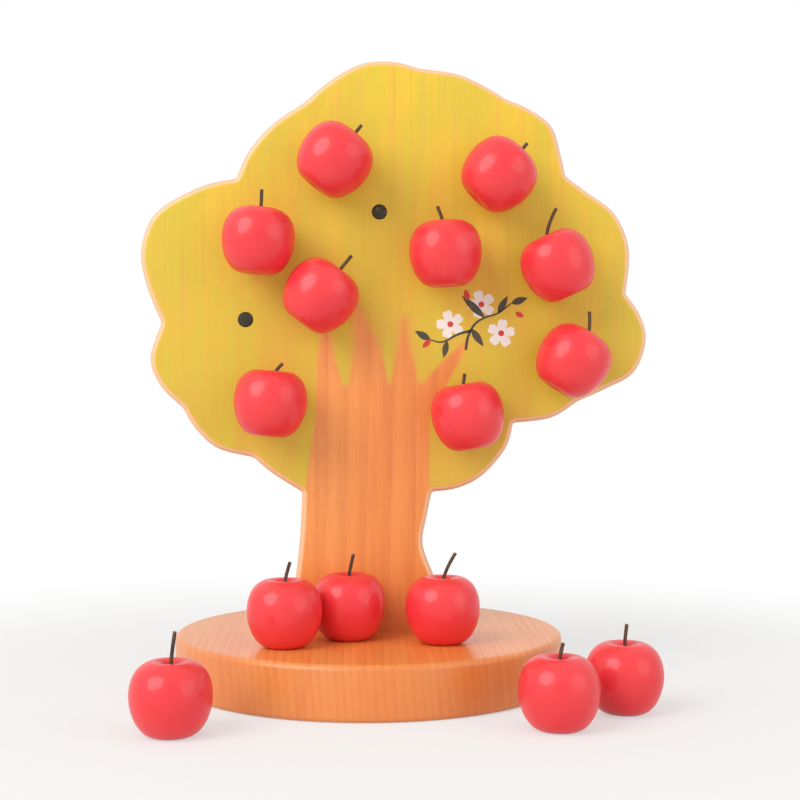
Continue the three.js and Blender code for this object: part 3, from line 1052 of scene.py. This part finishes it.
def placed(shape, given):
    """Puts what stands at the origin in its apple's place: turned on its axis, tilted, then moved."""
    lowered = shape.node("ShaderNodeCombineXYZ", {}, {"Z": -MAGNET_LEVEL})
    turned = shape.node("GeometryNodeTransform", {}, {
        "Geometry": shape,
        "Translation": lowered,
        "Rotation": shape.node("ShaderNodeCombineXYZ", {}, {"Z": given["Turn"]}),
    })
    return turned.node("GeometryNodeTransform", {}, {
        "Geometry": turned,
        "Translation": given["Middle"],
        "Rotation": shape.node("ShaderNodeCombineXYZ", {}, {"Y": given["Tilt"]}),
    })


def apple_nodes():
    """Turns a profile about Z, makes it a little uneven, drills it and puts it in its place."""
    sizes = {
        **dict.fromkeys(("Sides", "Steps"), "Int"),
        **dict.fromkeys(("Unevenness", "Seed", "Magnet Hole", "Stem Hole", "Turn", "Tilt"), "Float"),
        "Middle": "Vector",
    }
    tree, given = new_shape_tree("turned apple", sizes)
    start = Wire(tree)
    line = start.node("GeometryNodeMeshToCurve", {}, {0: given["Geometry"]})
    curve = start.node("GeometryNodeCurveSplineType", {"spline_type": "CATMULL_ROM"}, {"Curve": line})
    grid = start.node("GeometryNodeMeshGrid", {}, {
        "Size X": 1.0,
        "Size Y": 1.0,
        "Vertices X": given["Sides"] + 1,
        "Vertices Y": given["Steps"] + 1,
    })
    at = start.node("GeometryNodeInputPosition", {}, {})
    share = at.part(1) + 0.5
    angle = at.part(0) * (2 * math.pi)
    along = {"Curves": curve, "Factor": share}
    profile = start.node("GeometryNodeSampleCurve", {"mode": "FACTOR"}, along, "Position")
    cosine, sine = angle.math("COSINE", angle), angle.math("SINE", angle)
    height = profile.part(2)
    way = {"X": cosine + given["Seed"], "Y": sine, "Z": height * SWELLS_UP}
    swell = start.node("ShaderNodeCombineXYZ", {}, way).noise(SWELL_SCALES, 1.0) - 0.5
    radius = profile.part(0) * (1 + swell * given["Unevenness"])
    there = start.node("ShaderNodeCombineXYZ", {}, {
        "X": radius * cosine,
        "Y": radius * sine,
        "Z": height.math("MAXIMUM", height, 0.0),
    })
    sheet = start.node("GeometryNodeStoreNamedAttribute", {"domain": "POINT"}, {
        "Geometry": grid,
        "Name": "up the profile",
        "Value": share,
    })
    turned = start.node("GeometryNodeSetPosition", {}, {"Geometry": sheet, "Position": there})
    magnet_tool = start.node("GeometryNodeMeshCylinder", {}, {
        "Vertices": MAGNET_HOLE_SIDES,
        "Radius": given["Magnet Hole"],
        "Depth": 2 * (MAGNET_THICKNESS - MAGNET_PROUD + MAGNET_CLEARANCE),
    })
    magnet_hole = start.node("GeometryNodeTransform", {}, {
        "Geometry": magnet_tool,
        "Translation": (0, APPLE_RADIUS, MAGNET_LEVEL),
        "Rotation": (math.pi / 2, 0, 0),
    })
    stem_tool = start.node("GeometryNodeMeshCylinder", {}, {
        "Vertices": STEM_HOLE_SIDES,
        "Radius": given["Stem Hole"],
        "Depth": 2 * (STEM_SEAT_DEPTH + STEM_CLEARANCE),
    })
    stem_hole = start.node("GeometryNodeTransform", {}, {
        "Geometry": stem_tool,
        "Translation": (0, 0, DIMPLE_FLOOR),
    })
    drilled = start.node("GeometryNodeMeshBoolean", {"operation": "DIFFERENCE", "solver": "EXACT"}, {
        "Mesh 1": merged(turned),
        "Mesh 2": [magnet_hole, stem_hole],
    })
    end_tree(placed(drilled, given), given["Finish"])
    return tree


def lacquer_finish():
    material, surface, place = new_finish("red lacquer")
    share = place.node("ShaderNodeAttribute", {"attribute_name": "up the profile"}, {}, "Fac")
    cloud = place.noise((60, 60, 60), 2.0)
    peel = place.noise((700, 700, 700), 1.0)
    grain = place.noise((240, 240, 1500), 2.0)
    # The dimple is painted a deeper red: painted shade in the hollow.
    dimple_painted_shade = share.smooth(0.86, 0.985) * 0.75
    # A brighter band round each apple's upper shoulder is a painted highlight, where the light from
    # above falls.
    wear_and_sheen = share.smooth(0.60, 0.80) * (1 - share.smooth(0.80, 0.9)) * 0.35
    colour = dimple_painted_shade.mix((cloud.smooth(0.25, 0.8) * 0.5 + wear_and_sheen).mix(APPLE_RED, APPLE_PALE_TONE_AND_SHEEN), APPLE_DIMPLE_SHADE)
    place.feed(surface, {
        "Base Color": colour,
        "Roughness": 0.40 + peel * 0.08,
        "Normal": relief_normal(peel * 0.6 + grain * 0.4, LACQUER_RELIEF),
        "Specular IOR Level": 0.3,
        "Coat Weight": 0.36,
        "Coat Roughness": 0.12,
    })
    return material


apples = apple_places()
apple_shape = apple_nodes()
lacquer = lacquer_finish()
profile_points = [(out * APPLE_RADIUS, 0, up * APPLE_HEIGHT) for out, up in APPLE_PROFILE_SHARES]
for number, (middle, tilt, turn, _, _) in enumerate(apples, 1):
    profile = points_mesh("profile", profile_points, joined=True)
    body = shaped(
        f"apple_{number:02d}", apple_shape, profile, lacquer,
        sides=APPLE_SIDES, steps=APPLE_STEPS, unevenness=APPLE_UNEVENNESS_SHARE, seed=float(number),
        magnet_hole=MAGNET_RADIUS + MAGNET_CLEARANCE, stem_hole=STEM_RADIUS + STEM_CLEARANCE,
        middle=middle, turn=math.radians(turn), tilt=math.radians(tilt),
    )
    smooth_shaded(body.data)
    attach(body, f"apple_{number:02d}")
    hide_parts(f"apple_{number:02d}_body")


# Magnets
# Small round ferrites, pressed from grey-black powder and fired, and glued into the apples'
# sides so that they stand a hair proud.
MAGNET_EDGE = 0.45 * MM
MAGNET_SIDES = 48
MAGNET_RELIEF = 0.04 * MM
FERRITE = (0.045, 0.044, 0.048, 1)
FERRITE_PALE = (0.10, 0.098, 0.10, 1)


def ferrite_finish():
    material, surface, place = new_finish("ferrite")
    speck = place.noise((1600, 1600, 1600), 3.0)
    place.feed(surface, {
        "Base Color": speck.smooth(0.3, 0.8).mix(FERRITE, FERRITE_PALE),
        "Metallic": 0.35,
        "Roughness": 0.42 + speck * 0.2,
        "Normal": relief_normal(speck, MAGNET_RELIEF),
    })
    return material


ferrite = ferrite_finish()
magnet_face = APPLE_RADIUS + MAGNET_PROUD
magnet_back = magnet_face - MAGNET_THICKNESS
for number, (middle, tilt, turn, _, _) in enumerate(apples, 1):
    mesh = round_block("magnet", MAGNET_RADIUS, magnet_back, magnet_face, MAGNET_EDGE, MAGNET_SIDES)
    sideways = Matrix.Rotation(-math.pi / 2, 4, "X")
    turned = Matrix.Rotation(math.radians(tilt), 4, "Y") @ Matrix.Rotation(math.radians(turn), 4, "Z")
    mesh.transform(Matrix.Translation(middle) @ turned @ sideways)
    smooth_shaded(mesh)
    magnet = new_piece(f"magnet_{number:02d}", mesh, ferrite)
    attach(magnet, f"apple_{number:02d}")
    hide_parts(f"apple_{number:02d}_magnet")


# Stems
# Thin bent twigs, cut to no fixed length and glued into the apples' stem holes. They stand
# straight in the hole, bend over outside it, and end in a slightly thicker cut.
STEM_LENGTH = 12 * MM
STEM_KNEE_SHARE = 0.33
STEM_TAPER_SHARE = 0.22
STEM_CUT_SHARE = 0.30
STEM_KNOBBLE_SHARE = 0.35
STEM_SIDES = 14
STEM_POINT_GAP = 0.6 * MM
STEM_RELIEF = 0.08 * MM
BARK_DARK = (0.050, 0.024, 0.012, 1)
BARK_LIGHT = (0.16, 0.085, 0.045, 1)
CUT_WOOD = (0.34, 0.21, 0.12, 1)


def stem_line(lean, share):
    """The stem's middle line in its apple's frame, from the bottom of its hole to its tip."""
    length = STEM_LENGTH * share
    seat = Vector((0, 0, DIMPLE_FLOOR - STEM_SEAT_DEPTH))
    rim = Vector((0, 0, DIMPLE_FLOOR))
    knee = rim + Vector((0, 0, STEM_KNEE_SHARE * length))
    tip = rim + Vector((math.sin(lean), 0, math.cos(lean))) * length
    count = round(length / STEM_POINT_GAP)
    shares = [i / count for i in range(count + 1)]
    bent = [(1 - t) ** 2 * rim + 2 * t * (1 - t) * knee + t**2 * tip for t in shares]
    return [seat, (seat + rim) / 2, *bent]


def stem_nodes():
    """A twig along a line of points: slimmer to its tip, knobbly, and thicker at the cut."""
    sizes = {**dict.fromkeys(("Radius", "Seed", "Turn", "Tilt"), "Float"), "Middle": "Vector"}
    tree, given = new_shape_tree("bent stem", sizes)
    start = Wire(tree)
    line = start.node("GeometryNodeMeshToCurve", {}, {0: given["Geometry"]})
    along = start.node("GeometryNodeSplineParameter", {}, {}, "Factor")
    at = start.node("GeometryNodeInputPosition", {}, {})
    elsewhere = start.node("ShaderNodeCombineXYZ", {}, {"X": given["Seed"]})
    knots = at.vector("ADD", elsewhere).noise((260, 260, 260), 1.0)
    knobbles = (knots - 0.5) * along.smooth(0.25, 0.45) * STEM_KNOBBLE_SHARE
    cut_end = along.smooth(0.86, 1.0) * STEM_CUT_SHARE
    thickness = 1 - along * STEM_TAPER_SHARE + cut_end + knobbles
    sized = start.node("GeometryNodeSetCurveRadius", {}, {"Curve": line, "Radius": thickness})
    marked = start.node("GeometryNodeStoreNamedAttribute", {"domain": "POINT"}, {
        "Geometry": sized,
        "Name": "along the stem",
        "Value": along,
    })
    ring = start.node("GeometryNodeCurvePrimitiveCircle", {}, {
        "Resolution": STEM_SIDES,
        "Radius": given["Radius"],
    })
    twig = start.node("GeometryNodeCurveToMesh", {}, {
        "Curve": marked,
        "Profile Curve": ring,
        "Fill Caps": True,
    })
    end_tree(placed(twig, given), given["Finish"])
    return tree


def bark_finish():
    material, surface, place = new_finish("twig bark")
    along = place.node("ShaderNodeAttribute", {"attribute_name": "along the stem"}, {}, "Fac")
    streak = place.noise((1500, 1500, 260), 3.0)
    bark = streak.smooth(0.35, 0.75).mix(BARK_DARK, BARK_LIGHT)
    place.feed(surface, {
        "Base Color": along.smooth(0.975, 0.995).mix(bark, CUT_WOOD),
        "Roughness": 0.62 + streak * 0.2,
        "Normal": relief_normal(streak, STEM_RELIEF),
    })
    return material


stem_shape = stem_nodes()
bark = bark_finish()
for number, (middle, tilt, _, lean, share) in enumerate(apples, 1):
    line = points_mesh("stem line", stem_line(math.radians(lean), share), joined=True)
    stem = shaped(
        f"stem_{number:02d}", stem_shape, line, bark,
        radius=STEM_RADIUS, seed=float(number), middle=middle, turn=0.0, tilt=math.radians(tilt),
    )
    smooth_shaded(stem.data)
    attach(stem, f"apple_{number:02d}")
    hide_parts(f"apple_{number:02d}_stem")
